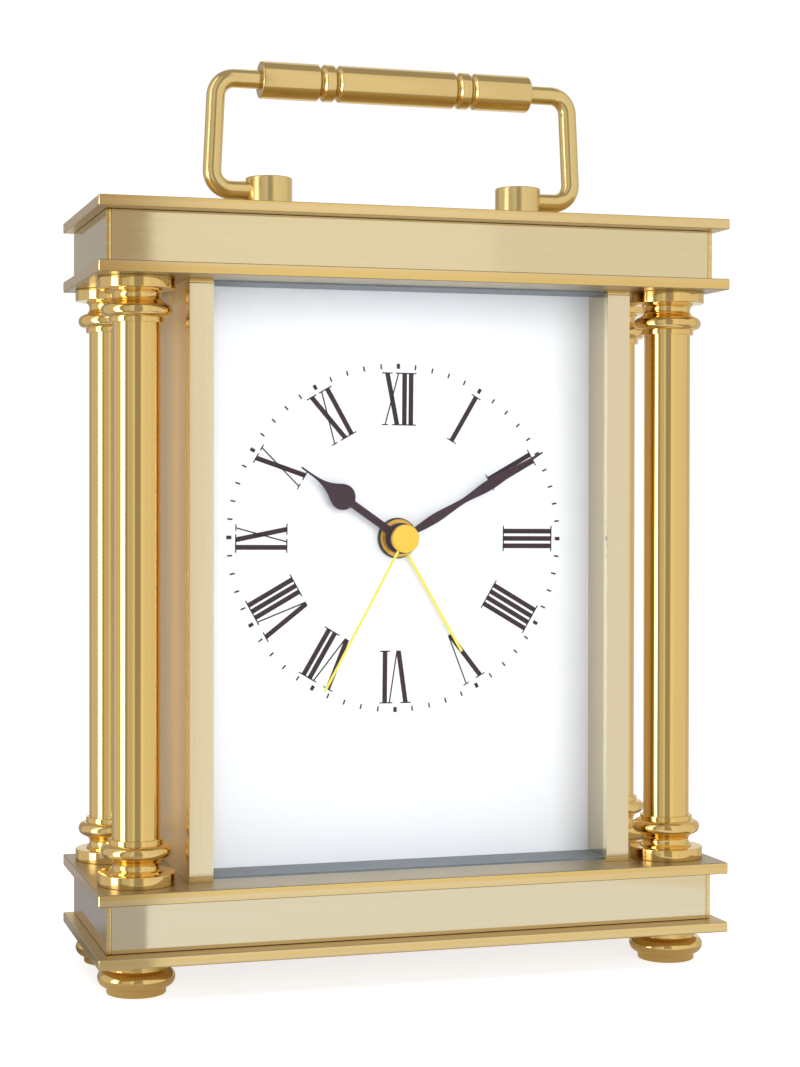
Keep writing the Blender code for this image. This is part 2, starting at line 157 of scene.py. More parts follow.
def makeBrass(name, color, rough, grain, depth, tint, streak=0.0, levelShading=0.0):
    # lacquered brass: grain stretches the brushing marks, depth is how far they stand, tint is how
    # tarnished it is, streak is how pale its drawn lines are, and the last argument is how much painted shade
    # darkens its level faces and roughens them
    look = brassLook
    finish = Finish(name)
    cloud = finish.noise((18, 18, 18), 4.0)
    lines = finish.noise(grain, 4.0, 0.65)
    fleck = finish.noise((900, 900, 900), 2.0)
    tone = finish.blend(cloud * tint, color, look["tarnish"])
    gloss = rough + (lines - 0.5) * rough * look["lineRough"] + (fleck - 0.5) * look["fleckRough"]
    if streak:
        drawn = finish.noise(tuple(size * look["drawnScale"] for size in grain), 2.0)
        tone = finish.blend((drawn - look["drawnFrom"]) * streak, tone, look["straw"])
    if levelShading:
        # painted shade: faces that point up or down get a darker colour and more roughness
        normal = finish.node("ShaderNodeTexCoord", output="Normal")
        facing = finish.node("ShaderNodeSeparateXYZ", {}, {0: normal}, 2)
        level = finish.node("ShaderNodeMath", {"operation": "ABSOLUTE"}, {0: facing}) > look["levelFrom"]
        tone = finish.blend(level * levelShading, tone, look["paintedShade"])
        gloss = gloss + level * look["levelRough"]
    finish.set(Base_Color=tone, Metallic=1.0, Roughness=gloss,
               Normal=finish.bump(lines, depth, 0.00003),
               Coat_Weight=0.12, Coat_Roughness=0.04, Coat_IOR=1.45)
    return finish.material


def makeGlass():
    # a clear pane: light passes straight through, its faces mirror a little more at a slant
    finish = Finish("paneGlass")
    edge = finish.node("ShaderNodeFresnel", {}, {"IOR": 1.45})
    clear = finish.node("ShaderNodeBsdfTransparent", {}, {"Color": (0.985, 0.99, 0.99, 1.0)})
    smear = finish.noise((30, 30, 12), 3.0)
    gloss = finish.node("ShaderNodeBsdfPrincipled", {}, {
        "Base Color": (0.9, 0.95, 0.96, 1.0), "Metallic": 1.0, "Roughness": 0.01 + smear * 0.02})
    mixed = finish.node("ShaderNodeMixShader", {}, {0: edge * 0.45, 1: clear, 2: gloss})
    finish.plug(finish.nodes["Material Output"].inputs["Surface"], mixed)
    finish.nodes.remove(finish.shader)
    return finish.material


def makePaint(name, color, shade, rough, fine=1400, depth=0.15, metal=0.0, gloss=0.5):
    # smooth or moulded coating: colour drifts a little, and a fine texture breaks up the gloss
    finish = Finish(name)
    drift = finish.noise((40, 40, 40), 3.0)
    texture = finish.noise((fine, fine, fine), 2.0)
    finish.set(Base_Color=finish.blend(drift * 0.5, color, shade), Metallic=metal, Specular_IOR_Level=gloss,
               Roughness=rough + (texture - 0.5) * 0.12 + (drift - 0.5) * 0.05,
               Normal=finish.bump(texture, depth, 0.00002))
    return finish.material


def makeSpun(name, color, shade, rough, metal):
    # a small disc faced on a lathe: rings about the Y axis through the origin, below the hands' axis
    finish = Finish(name)
    rings = finish.node("ShaderNodeTexWave", {"wave_type": "RINGS", "rings_direction": "Y"}, {
        "Vector": finish.spot((1, 1, 1)), "Scale": 900.0, "Distortion": 1.5, "Detail": 2.0})
    cloud = finish.noise((300, 300, 300), 3.0)
    finish.set(Base_Color=finish.blend(cloud * 0.8, color, shade), Metallic=metal,
               Roughness=rough + (rings - 0.5) * 0.08, Normal=finish.bump(rings, 0.12, 0.00001))
    return finish.material


def makeWound(name, color, shade, pitch):
    # wire laid in turns along X; the dark colour in the grooves between the turns is painted shade
    finish = Finish(name)
    turns = finish.node("ShaderNodeTexWave", {"wave_type": "BANDS", "bands_direction": "X"}, {
        "Vector": finish.spot((1, 1, 1)), "Scale": pitch, "Distortion": 0.3, "Detail": 1.0})
    finish.set(Base_Color=finish.blend(turns, shade, color), Metallic=0.8, Roughness=0.35 - turns * 0.1,
               Normal=finish.bump(turns, 0.7, 0.0001))
    return finish.material


def makeBoard():
    # green mask over faint copper tracks
    finish = Finish("circuitBoard")
    tracks = finish.node("ShaderNodeTexVoronoi", {"feature": "DISTANCE_TO_EDGE", "distance": "EUCLIDEAN"}, {
        "Vector": finish.spot((260, 260, 260)), "Scale": 1.0})
    line = tracks < 0.06
    finish.set(Base_Color=finish.blend(line, (0.015, 0.16, 0.06), (0.05, 0.30, 0.12)), Roughness=0.4,
               Normal=finish.bump(line, 0.3, 0.00003))
    return finish.material


def makeSleeve():
    # the cell's printed sleeve: dark body, copper-coloured end
    finish = Finish("cellSleeve")
    apart = finish.node("ShaderNodeSeparateXYZ", {}, {0: finish.spot((1, 1, 1))})
    scuffs = finish.noise((120, 700, 700), 4.0)
    top = apart < -0.0125
    finish.set(Base_Color=finish.blend(top, (0.02, 0.022, 0.03), (0.62, 0.33, 0.12)), Metallic=top * 0.8,
               Roughness=0.25 + scuffs * 0.2)
    return finish.material


plateGrain, turnedGrain, sheetGrain = (6, 1300, 2600), (60, 60, 1500), (900, 900, 9)
# plates: the last number is how much painted shade darkens their level faces, more on the shelves
plateBrass = makeBrass("plateBrass", brassLook["rich"], 0.15, plateGrain, 0.10, 0.22, 1.6, 0.45)
shadedShelfBrass = makeBrass("shadedShelfBrass", brassLook["rich"], 0.15, plateGrain, 0.10, 0.22, 1.6, 0.85)
turnedBrass = makeBrass("turnedBrass", brassLook["rich"], brassLook["polish"], turnedGrain, 0.02, 0.2)
mouldedBrass = makeBrass("mouldedBrass", brassLook["rich"], 0.09, (60, 60, 1900), 0.05, 0.3)
# painted shadow: the dark brown of the band cores, seen in the seams
seamShadowBrass = makeBrass("seamShadowBrass", (0.36, 0.22, 0.09), 0.40, (60, 60, 60), 0.1, 0.3)
gripBrass = makeBrass("gripBrass", (0.85, 0.635, 0.27), 0.15, (1500, 60, 60), 0.03, 0.2)
rodBrass = makeBrass("rodBrass", brassLook["olive"], 0.19, (300, 300, 300), 0.02, 0.2)
postBrass = makeBrass("postBrass", brassLook["olive"], 0.22, turnedGrain, 0.03, 0.2)
bandBrass = makeBrass("brushedBand", brassLook["pale"], 0.06, (10, 900, 2600), 0.04, 0.12, 0.8)
stileBrass = makeBrass("brushedStile", brassLook["straw"], 0.14, (2600, 12, 12), 0.06, 0.10)
sheetBrass = makeBrass("sheetBrass", (0.90, 0.78, 0.56), 0.48, sheetGrain, 0.03, 0.15)
# a darkened copy of the side sheet's brass: painted shade on the dial walls in the recess
shadedWallBrass = makeBrass("shadedWallBrass", (0.64, 0.56, 0.41), 0.20, sheetGrain, 0.03, 0.15)
paneGlass = makeGlass()
dialPaint = makePaint("dialPaint", (0.880, 0.884, 0.922), (0.858, 0.862, 0.900), 0.42, 2500, 0.03)
dialInk = makePaint("dialInk", (0.030, 0.010, 0.018), (0.042, 0.018, 0.027), 0.6, 3000, 0.1, 0.0, 0.2)
handPaint = makePaint("handPaint", (0.036, 0.013, 0.022), (0.046, 0.020, 0.030), 0.5, 2500, 0.1, 0.0, 0.25)
slateStrip = makePaint("slateStrip", (0.19, 0.215, 0.24), (0.16, 0.185, 0.21), 0.5, 1500, 0.1)
blackPlastic = makePaint("blackPlastic", (0.018, 0.018, 0.020), (0.032, 0.032, 0.034), 0.5, 2200, 0.35)
nutPaint = makePaint("nutPaint", (0.020, 0.012, 0.015), (0.035, 0.02, 0.025), 0.3, 2200, 0.1)
ivoryPlastic = makePaint("ivoryPlastic", (0.80, 0.78, 0.70), (0.72, 0.69, 0.60), 0.4, 1600, 0.2)
nickelSteel = makePaint("nickelSteel", (0.66, 0.65, 0.62), (0.52, 0.51, 0.48), 0.24, 900, 0.1, 1.0)
yellowPaint = makePaint("yellowPaint", (0.86, 0.71, 0.07), (0.82, 0.66, 0.06), 0.45, 2500, 0.08)
capGold = makeSpun("capGold", (0.87, 0.55, 0.05), (0.78, 0.45, 0.035), 0.38, 0.25)
hubGold = makeSpun("hubGold", (0.90, 0.55, 0.12), (0.80, 0.42, 0.07), 0.22, 0.9)
coilWire = makeWound("coilWire", (0.65, 0.28, 0.11), (0.25, 0.08, 0.03), 900.0)
boardMask = makeBoard()
cellSleeve = makeSleeve()
print("finishes made")


# mesh helpers
def addPiece(name, bm, body, finish, nodes=(), smoothAngle=None, flatFaces=False):
    bmesh.ops.recalc_face_normals(bm, faces=bm.faces)
    mesh = bpy.data.meshes.new(name)
    bm.to_mesh(mesh)
    bm.free()
    mesh.materials.append(finish)
    piece = bpy.data.objects.new(name, mesh)
    scene.collection.objects.link(piece)
    if smoothAngle:
        mesh.shade_smooth()
        mesh.set_sharp_from_angle(angle=math.radians(smoothAngle))
    if flatFaces:  # keeps large faces flat beside their rounded edges
        weighted = piece.modifiers.new("flatFaces", "WEIGHTED_NORMAL")
        weighted.weight = 100
        weighted.keep_sharp = True
    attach(piece, body)
    if nodes:
        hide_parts(*nodes)


def softened(points):
    # (radius, height, rounding) corners, each turned into a short arc
    route = []
    count = len(points)
    for i, (r, z, rounding) in enumerate(points):
        here = Vector((r, z))
        if rounding <= 0 or i in (0, count - 1):
            route.append((r, z))
            continue
        before = Vector(points[i - 1][:2]) - here
        after = Vector(points[i + 1][:2]) - here
        reach = min(rounding, before.length * 0.45, after.length * 0.45)
        start = here + before.normalized() * reach
        end = here + after.normalized() * reach
        for k in range(6):
            t = k / 5
            spot = start * (1 - t) ** 2 + here * 2 * t * (1 - t) + end * t * t
            route.append((spot.x, spot.y))
    return route


def roundPath(centre, radius, startDeg, endDeg, steps):
    points = []
    for i in range(steps + 1):
        turn = math.radians(startDeg + (endDeg - startDeg) * i / steps)
        points.append((centre[0] + radius * math.cos(turn), centre[1] + radius * math.sin(turn)))
    return points


def lathe(profile, centre, axis="Z", segments=80, bore=None, flip=False):
    # profile is (radius, along) in millimetres, centre in metres
    points = list(profile)
    if bore is not None:
        points = [(bore, profile[0][1])] + points + [(bore, profile[-1][1])]
    bm = bmesh.new()
    rings = []
    for r, along in points:
        ring = []
        for i in range(segments):
            turn = 2 * math.pi * i / segments
            ring.append(bm.verts.new((r * mm * math.cos(turn), r * mm * math.sin(turn),
                                      (-along if flip else along) * mm)))
        rings.append(ring)
    pairs = list(zip(rings, rings[1:]))
    if bore is not None:
        pairs.append((rings[-1], rings[0]))
    for low, high in pairs:
        for i in range(segments):
            k = (i + 1) % segments
            bm.faces.new((low[i], low[k], high[k], high[i]))
    if bore is None:
        bm.faces.new(rings[0])
        bm.faces.new(rings[-1])
    turnTo = {"X": Matrix.Rotation(math.radians(90), 4, "Y"),
              "Y": Matrix.Rotation(math.radians(-90), 4, "X"), "Z": Matrix.Identity(4)}[axis]
    bmesh.ops.transform(bm, matrix=Matrix.Translation(centre) @ turnTo, verts=bm.verts)
    return bm


def block(low, high, rounding, steps=2):
    # a squared piece with eased edges, corners in millimetres
    bm = bmesh.new()
    bmesh.ops.create_cube(bm, size=1.0)
    size = [(high[i] - low[i]) * mm for i in range(3)]
    middle = [(high[i] + low[i]) * mm / 2 for i in range(3)]
    bmesh.ops.scale(bm, vec=size, verts=bm.verts)
    bmesh.ops.translate(bm, vec=middle, verts=bm.verts)
    if rounding:
        bmesh.ops.bevel(bm, geom=bm.edges[:], offset=rounding * mm, segments=steps, profile=0.6,
                        affect="EDGES")
    return bm


def prism(bm, outline, front, back):
    # a flat shape in the dial's plane: outline is (x, z) in metres
    sheets = [[bm.verts.new((x, y, z)) for x, z in outline] for y in (front, back)]
    bm.faces.new(sheets[0])
    bm.faces.new(sheets[1])
    count = len(outline)
    for i in range(count):
        k = (i + 1) % count
        bm.faces.new((sheets[0][i], sheets[0][k], sheets[1][k], sheets[1][i]))


def curveThrough(points, steps):
    # a smooth curve through (distance, half width) points
    route = []
    last = len(points) - 1
    for i in range(last):
        p0, p1 = Vector(points[max(i - 1, 0)]), Vector(points[i])
        p2, p3 = Vector(points[i + 1]), Vector(points[min(i + 2, last)])
        for k in range(steps):
            t = k / steps
            route.append(0.5 * (2 * p1 + (p2 - p0) * t + (2 * p0 - 5 * p1 + 4 * p2 - p3) * t * t
                                + (3 * p1 - p0 - 3 * p2 + p3) * t ** 3))
    route.append(Vector(points[last]))
    return [(p.x, p.y) for p in route]


# base and cornice
plateSpec = {"halfWidth": 67.5, "halfDepth": 24.6, "easing": 0.32,
             "shadedShelves": ("base_top_plate", "cornice_lower_plate"),  # the two plates whose level faces get the most painted shade
             "levels": {"base_bottom_plate": (7.2, 9.35), "base_top_plate": (19.6, 22.04),
                        "cornice_lower_plate": (144.22, 146.56), "cornice_top_plate": (157.09, 159.27)}}
bandSpec = {"halfWidth": 65.35, "front": -20.42, "back": 23.28, "easing": 0.06, "seam": 0.13,
            "endStrip": 1.0, "endGap": 0.04, "endDepth": 0.5, "endProud": 0.03, "endEasing": 0.18,
            "coreInset": 0.9, "coreReach": 0.3,
            "levels": {"base_band": (9.35, 19.6), "cornice_band": (146.56, 157.09)}}


def makePlates():
    w, d = plateSpec["halfWidth"], plateSpec["halfDepth"]
    for node, (low, high) in plateSpec["levels"].items():
        shape = block((-w, -d, low), (w, d, high), plateSpec["easing"], 3)
        finish = shadedShelfBrass if node in plateSpec["shadedShelves"] else plateBrass
        addPiece("fine_" + node, shape, "case", finish, [node], 35, True)


def makeBands():
    # each band is a front piece, two strips at each end, and a dark core that shows at the seams as painted
    # shadow
    s = bandSpec
    w, front, back, strip = s["halfWidth"], s["front"], s["back"], s["endStrip"]
    half, split, inset, reach = w - strip - s["endGap"], front + s["endDepth"], s["coreInset"], s["coreReach"]
    ends = (("EndGrain", front - s["endProud"], split, s["endEasing"], plateBrass),
            ("SideStrip", split, back, s["easing"], bandBrass))
    for node, (low, high) in s["levels"].items():
        bottom, top = low + s["seam"], high - s["seam"]
        shape = block((-half, front, bottom), (half, back, top), s["easing"])
        addPiece("fine_" + node, shape, "case", bandBrass, [node], 35, True)
        for side, sign in (("left", -1), ("right", 1)):
            xs = sorted((sign * w, sign * (w - strip)))
            for part, near, far, easing, finish in ends:
                shape = block((xs[0], near, bottom), (xs[1], far, top), easing)
                addPiece(node + side + part, shape, "case", finish, (), 35, True)
        # its dark colour is painted shadow in the seams
        core = block((-w + inset, front + inset, low - reach), (w - inset, back - inset, high + reach), 0)
        addPiece("core_" + node, core, "case", seamShadowBrass)


# pillars and feet
pillarSpec = {"x": 58.09, "front": -13.39, "rear": 16.26, "shelf": 22.04, "ceiling": 144.22, "shaft": 4.93,
              "disc": 7.87, "discTop": 2.45, "neck": 4.89, "neckRound": 1.32, "neckLevel": 3.88,
              "torus": 7.24, "torusRound": 1.42, "torusLevel": 6.72, "fillet": 5.61, "filletTop": 9.2,
              "shaftStart": 9.1}
footSpec = {"ring": 6.04, "ringTop": 1.15, "widest": 7.86, "bunRound": 1.75, "bunLevel": 3.25,
            "collar": 6.1, "collarLow": 5.25, "top": 7.2}


def capitalProfile():
    # disc, hollow neck, round torus and fillet, measured away from the plate
    s = pillarSpec
    disc, fillet, hollow, bulge = s["disc"], s["fillet"], s["neckRound"], s["torusRound"]
    points = softened([(disc - 0.4, 0.0, 0), (disc, 0.0, 0.25), (disc, s["discTop"], 0.25),
                       (s["neck"] + 0.6, 2.5, 0)])
    points += roundPath((s["neck"] + hollow, s["neckLevel"]), hollow, 238, 122, 8)
    points += roundPath((s["torus"] - bulge, s["torusLevel"]), bulge, -78, 78, 12)
    points += softened([(fillet, 8.2, 0), (fillet, 8.28, 0), (fillet, s["filletTop"], 0.12),
                        (s["shaft"] - 0.1, 9.22, 0)])
    return points


def footProfile():
    s = footSpec
    ring, collar, bun = s["ring"], s["collar"], s["bunRound"]
    points = softened([(ring - 1.0, 0.0, 0), (ring, 0.0, 0.35), (ring, s["ringTop"], 0.2),
                       (ring + 0.05, 1.45, 0)])
    points += roundPath((s["widest"] - bun, s["bunLevel"]), bun, -88, 82, 16)
    points += softened([(collar + 0.1, 5.05, 0), (collar, s["collarLow"], 0.1), (collar, s["top"], 0)])
    return points


def makePillars():
    shelf, ceiling = pillarSpec["shelf"], pillarSpec["ceiling"]
    capital, foot = capitalProfile(), footProfile()
    low, high = shelf + pillarSpec["shaftStart"], ceiling - pillarSpec["shaftStart"]
    shaft = [(pillarSpec["shaft"], 0.0), (pillarSpec["shaft"], high - low)]
    for row in ("front", "rear"):
        for side, sign in (("left", -1), ("right", 1)):
            tag = row + "_" + side
            x, y = sign * pillarSpec["x"] * mm, pillarSpec[row] * mm
            parts = (("pillar_base_", capital, shelf, False), ("pillar_capital_", capital, ceiling, True),
                     ("pillar_shaft_", shaft, low, False), ("foot_", foot, 0.0, False))
            for kind, profile, level, flip in parts:
                shape = lathe(profile, (x, y, level * mm), flip=flip)
                finish = turnedBrass if profile is shaft else mouldedBrass
                addPiece("fine_" + kind + tag, shape, "case", finish, [kind + tag], 32)


# glazed case
caseSpec = {"outer": 47.94, "inner": 42.83, "front": -16.62, "depth": 3.4, "back": 19.0, "panel": 1.25,
            "glassFront": -14.6, "glassBack": -12.8, "wall": 44.1, "dialFront": -3.0, "dialBack": -1.8,
            "easing": 0.16, "sheetEasing": 0.1, "fineEasing": 0.05, "gap": 0.05,
            "shoe": 0.95, "shoeInset": 0.03, "shoeBack": 0.12, "strip": 0.3,
            "cheekInset": 0.25, "cheekLap": 0.2, "panelInset": 0.02, "panelGap": 0.06}


def makeCase():
    s = caseSpec
    low, high = pillarSpec["shelf"], pillarSpec["ceiling"]
    lip, rebate = s["glassFront"] - s["gap"], s["front"] + s["depth"]
    shoe, inset, sheetEasing = s["shoe"], s["shoeInset"], s["sheetEasing"]
    for side, sign in (("left", -1), ("right", 1)):
        def slab(near, far, front, back, easing, bottom=low, top=high):
            xs = sorted((sign * near, sign * far))
            return block((xs[0], front, bottom), (xs[1], back, top), easing)

        stile = slab(s["inner"], s["outer"], s["front"], lip, s["easing"], low + shoe, high - shoe)
        addPiece(side + "StileFace", stile, "case", stileBrass, [side + "_stile"], 35, True)
        for where, bottom in (("Foot", low), ("Head", high - shoe)):
            cap = slab(s["inner"] + inset, s["outer"] - inset, s["front"] + s["shoeBack"], lip, sheetEasing,
                       bottom, bottom + shoe)
            addPiece(side + "Stile" + where, cap, "case", plateBrass, (), 35, True)
        cheek = slab(s["wall"] + s["cheekInset"], s["outer"], lip - s["cheekLap"], rebate, sheetEasing)
        addPiece(side + "StileCheek", cheek, "case", stileBrass, (), 35, True)
        panel = slab(s["outer"] - s["panel"], s["outer"] - s["panelInset"], rebate + s["panelGap"], s["back"],
                     sheetEasing)
        addPiece(side + "PanelSheet", panel, "case", sheetBrass,
                 [side + "_side_panel"], 35, True)
        # painted shade: the dial walls take the darkened copy of the sheet brass
        rail = slab(s["wall"], s["outer"] - s["panel"], s["glassBack"], s["dialFront"], s["fineEasing"])
        addPiece(side + "DialWall", rail, "case", shadedWallBrass,
                 [side + "_dial_rail"], 35, True)
    # a thin grey-blue strip on the shelf and under the ceiling, between glass and dial
    for where, bottom in (("lower", low), ("upper", high - s["strip"])):
        bar = block((-s["wall"], s["glassBack"] + s["gap"], bottom),
                    (s["wall"], s["dialFront"] - s["gap"], bottom + s["strip"]), s["fineEasing"])
        addPiece(where + "GlazingStrip", bar, "case", slateStrip)
    pane = block((-s["wall"], s["glassFront"], low + s["gap"]),
                 (s["wall"], s["glassBack"], high - s["gap"]), sheetEasing)
    addPiece("glassPane", pane, "case", paneGlass, ["front_glass"])


# dial and its print
dialSpec = {"axis": 91.20, "hole": 3.2, "marks": 36.75, "markLength": 1.1, "minute": 0.36, "hour": 0.76,
            "twist": 0.5, "inner": 24.1, "outer": 35.4, "thick": 1.04, "thin": 0.30, "serif": 0.27,
            "overhang": 0.66, "thinOverhang": 0.85, "ink": 0.02, "inkRoot": 0.1}
letterStrokes = {  # (top x, bottom x, thick or thin), from each letter's own zero
    "I": ((0.0, 0.0, "thick"),),
    "V": ((-1.9, -0.2, "thick"), (1.78, 0.14, "thin")),
    "X": ((0.0, 2.3, "thick"), (2.57, -0.42, "thin"))}
numeralLetters = {
    1: "I0", 2: "I0 I1.55", 3: "I0 I1.6 I3.2", 4: "I0 I1.53 I3.06 I4.59", 5: "V0", 6: "V0 I2.8",
    7: "V0 I2.8 I4.3", 8: "V0 I2.8 I4.3 I5.8", 9: "I0 X1.56", 10: "X0", 11: "X0 I3.9", 12: "X0 I3.9 I5.35"}


def dialPoint(clockDeg, across, along):
    # across and along are in millimetres, along pointing out from the hands' axis
    turn = math.radians(clockDeg + dialSpec["twist"])
    x = along * math.sin(turn) + across * math.cos(turn)
    z = along * math.cos(turn) - across * math.sin(turn)
    return (x * mm, (dialSpec["axis"] + z) * mm)


def makeDial():
    s = caseSpec
    low, high = pillarSpec["shelf"] * mm, pillarSpec["ceiling"] * mm
    half, axisZ = (s["outer"] - s["panel"]) * mm, dialSpec["axis"] * mm
    front, back = s["dialFront"] * mm, s["dialBack"] * mm
    bm = bmesh.new()
    hole, segments = dialSpec["hole"] * mm, 48
    share = segments // 6
    edges = []
    for y in (front, back):
        ring = [bm.verts.new((hole * math.cos(2 * math.pi * i / segments), y,
                              axisZ + hole * math.sin(2 * math.pi * i / segments))) for i in range(segments)]
        corners = [bm.verts.new(p) for p in ((half, y, axisZ), (half, y, high), (-half, y, high),
                                             (-half, y, axisZ), (-half, y, low), (half, y, low))]
        for c in range(6):
            arc = [ring[(c * share + k) % segments] for k in range(share + 1)]
            bm.faces.new([corners[c], corners[(c + 1) % 6]] + arc[::-1])
        edges.append((ring, corners))
    for group in (0, 1):
        first, second = edges[0][group], edges[1][group]
        for i in range(len(first)):
            k = (i + 1) % len(first)
            bm.faces.new((first[i], first[k], second[k], second[i]))
    addPiece("dialSheet", bm, "case", dialPaint, ["dial_plate"])

    ink = bmesh.new()
    face, under = front - dialSpec["ink"] * mm, front + dialSpec["inkRoot"] * mm

    def mark(clockDeg, left, right, inner, outer, topShift=0.0):
        outline = [dialPoint(clockDeg, left, inner), dialPoint(clockDeg, right, inner),
                   dialPoint(clockDeg, right + topShift, outer), dialPoint(clockDeg, left + topShift, outer)]
        prism(ink, outline, face, under)

    for minute in range(60):
        width = dialSpec["hour"] if minute % 5 == 0 else dialSpec["minute"]
        reach = dialSpec["markLength"] / 2
        mark(minute * 6, -width / 2, width / 2, dialSpec["marks"] - reach, dialSpec["marks"] + reach)
    inner, outer, serif = dialSpec["inner"], dialSpec["outer"], dialSpec["serif"]
    for hour, letters in numeralLetters.items():
        strokes = []
        for letter in letters.split():
            shift = float(letter[1:])
            strokes += [(top + shift, bottom + shift, kind) for top, bottom, kind in letterStrokes[letter[0]]]
        xs = [x for top, bottom, kind in strokes for x in (top, bottom)]
        middle = (min(xs) + max(xs)) / 2
        for top, bottom, kind in strokes:
            slope = (top - bottom) / (outer - inner)
            wide = dialSpec[kind] / 2 * math.sqrt(1 + slope * slope)
            foot, head = bottom - middle, top - middle
            mark(hour * 30, foot - wide, foot + wide, inner, outer, head - foot)
            over = dialSpec["overhang"] * (1.0 if kind == "thick" else dialSpec["thinOverhang"])
            ends = [(head, outer - serif, outer)]
            if not letters.startswith("V") or top == bottom:
                ends.append((foot, inner, inner + serif))
            for x, near, far in ends:
                mark(hour * 30, x - wide - over, x + wide + over, near, far)
    addPiece("dialPrint", ink, "case", dialInk)


# centre work and hands
handSpec = {  # outline is (distance from the axis, half width)
    "alarm": {"angle": 149.7, "blade": (-4.50, -4.20), "curved": False,
              "outline": ((0.0, 0.29), (28.3, 0.29))},
    "hour": {"angle": 304.75, "blade": (-5.72, -5.42), "curved": True, "outline": (
        (0.0, 0.81), (6.0, 0.81), (11.2, 0.81), (12.75, 0.86), (13.15, 1.55), (13.9, 2.28), (14.8, 2.68),
        (15.7, 2.73), (16.6, 2.5), (17.5, 2.0), (18.7, 1.28), (20.2, 0.68), (22.0, 0.33), (24.0, 0.22),
        (26.4, 0.18))},
    "minute": {"angle": 59.8, "blade": (-7.22, -6.92), "curved": True, "outline": (
        (0.0, 0.6), (3.0, 0.62), (5.0, 0.82), (7.5, 1.0), (9.5, 1.0), (12.0, 0.8), (15.5, 0.57), (18.0, 0.72),
        (20.5, 1.02), (22.5, 1.12), (25.0, 1.02), (28.5, 0.7), (32.5, 0.4), (36.7, 0.15))},
    "second": {"angle": 208.7, "blade": (-8.98, -8.72), "curved": False,
               "outline": ((0.0, 0.25), (36.4, 0.25))}}
bladeEasing = 0.03


def makeBlade(name, body, finish, nodes):
    spec = handSpec[name]
    line = curveThrough(spec["outline"], 6) if spec["curved"] else spec["outline"]
    turn = math.radians(spec["angle"])
    outline = [(r, w) for r, w in line] + [(r, -w) for r, w in reversed(line)]
    flat = []
    for r, w in outline:
        flat.append(((r * math.sin(turn) + w * math.cos(turn)) * mm,
                     (dialSpec["axis"] + r * math.cos(turn) - w * math.sin(turn)) * mm))
    bm = bmesh.new()
    prism(bm, flat, spec["blade"][0] * mm, spec["blade"][1] * mm)
    rims = [e for e in bm.edges if abs(e.verts[0].co.y - e.verts[1].co.y) < 1e-9]
    bmesh.ops.bevel(bm, geom=rims, offset=bladeEasing * mm, segments=1, affect="EDGES")
    addPiece(name + "Blade", bm, body, finish, nodes)


def disc(name, body, finish, slotName, radius, front, back, rounding, bore=None, nodes=()):
    length, inner = back - front, 0.02 if bore is None else bore
    corners = [(inner, 0.0, 0), (radius, 0.0, rounding), (radius, length, rounding), (inner, length, 0)]
    shape = lathe(softened(corners), (0.0, front * mm, dialSpec["axis"] * mm), "Y", 64, bore)
    addPiece(name, shape, body, finish, nodes, 35)


def makeHands():
    disc("dialNutRing", "case", nutPaint, "movement_plastic", 4.35, -3.9, -3.0, 0.15, 3.0, ["dial_nut"])
    makeBlade("alarm", "alarm_work", yellowPaint, ["alarm_hand"])
    disc("alarmHub", "alarm_work", hubGold, "hand_gold", 4.05, -4.75, -4.2, 0.08, 2.0)
    disc("alarmCollar", "alarm_work", hubGold, "hand_gold", 3.35, -5.15, -4.7, 0.08, 2.0)
    makeBlade("hour", "hour_work", handPaint, ["hour_hand"])
    disc("hourHub", "hour_work", handPaint, "hand_black", 3.3, -6.3, -5.4, 0.15, 1.3)
    makeBlade("minute", "minute_work", handPaint, ["minute_hand"])
    disc("minuteHub", "minute_work", handPaint, "hand_black", 2.75, -7.7, -6.7, 0.15, 0.7)
    makeBlade("second", "seconds_work", yellowPaint, ["second_hand"])
    disc("secondsCap", "seconds_work", capGold, "hand_gold", 2.97, -9.75, -8.5, 0.14)


# carry handle
handleSpec = {"y": -1.68, "postX": 27.85, "postRadius": 4.94, "postTop": 167.15, "pivot": 164.3, "rod": 1.96,
              "armLow": 40.1, "armHigh": 39.35, "gripZ": 187.7, "bend": 4.0, "gripRadius": 3.92,
              "gripHalf": 29.9, "bead": 15.1, "beadHalf": 1.7, "grooveDepth": 0.8, "grooveHalf": 0.75,
              "grooveEasing": 0.12, "gripEasing": 0.45, "postEasing": 0.4, "clearance": 0.05}


def bailRoute():
    s = handleSpec
    bend = s["bend"]
    half = [(-(s["postX"] - 0.5), s["pivot"])]
    half += roundPath((-s["armLow"] + bend, s["pivot"] + bend), bend, 270, 180, 14)
    half += roundPath((-s["armHigh"] + bend, s["gripZ"] - bend), bend, 180, 90, 14)
    half += [(-s["gripHalf"] + 3, s["gripZ"])]
    return half


def sweepRod(route, radius, y, segments=28):
    bm = bmesh.new()
    rings = []
    for i, (x, z) in enumerate(route):
        before, after = route[max(i - 1, 0)], route[min(i + 1, len(route) - 1)]
        along = Vector((after[0] - before[0], 0, after[1] - before[1])).normalized()
        side = along.cross(Vector((0, 1, 0)))
        ring = []
        for k in range(segments):
            turn = 2 * math.pi * k / segments
            spot = Vector((x, y, z)) + radius * (math.cos(turn) * side + math.sin(turn) * Vector((0, 1, 0)))
            ring.append(bm.verts.new(spot * mm))
        rings.append(ring)
    for low, high in zip(rings, rings[1:]):
        for i in range(segments):
            k = (i + 1) % segments
            bm.faces.new((low[i], low[k], high[k], high[i]))
    bm.faces.new(rings[0])
    bm.faces.new(rings[-1])
    return bm


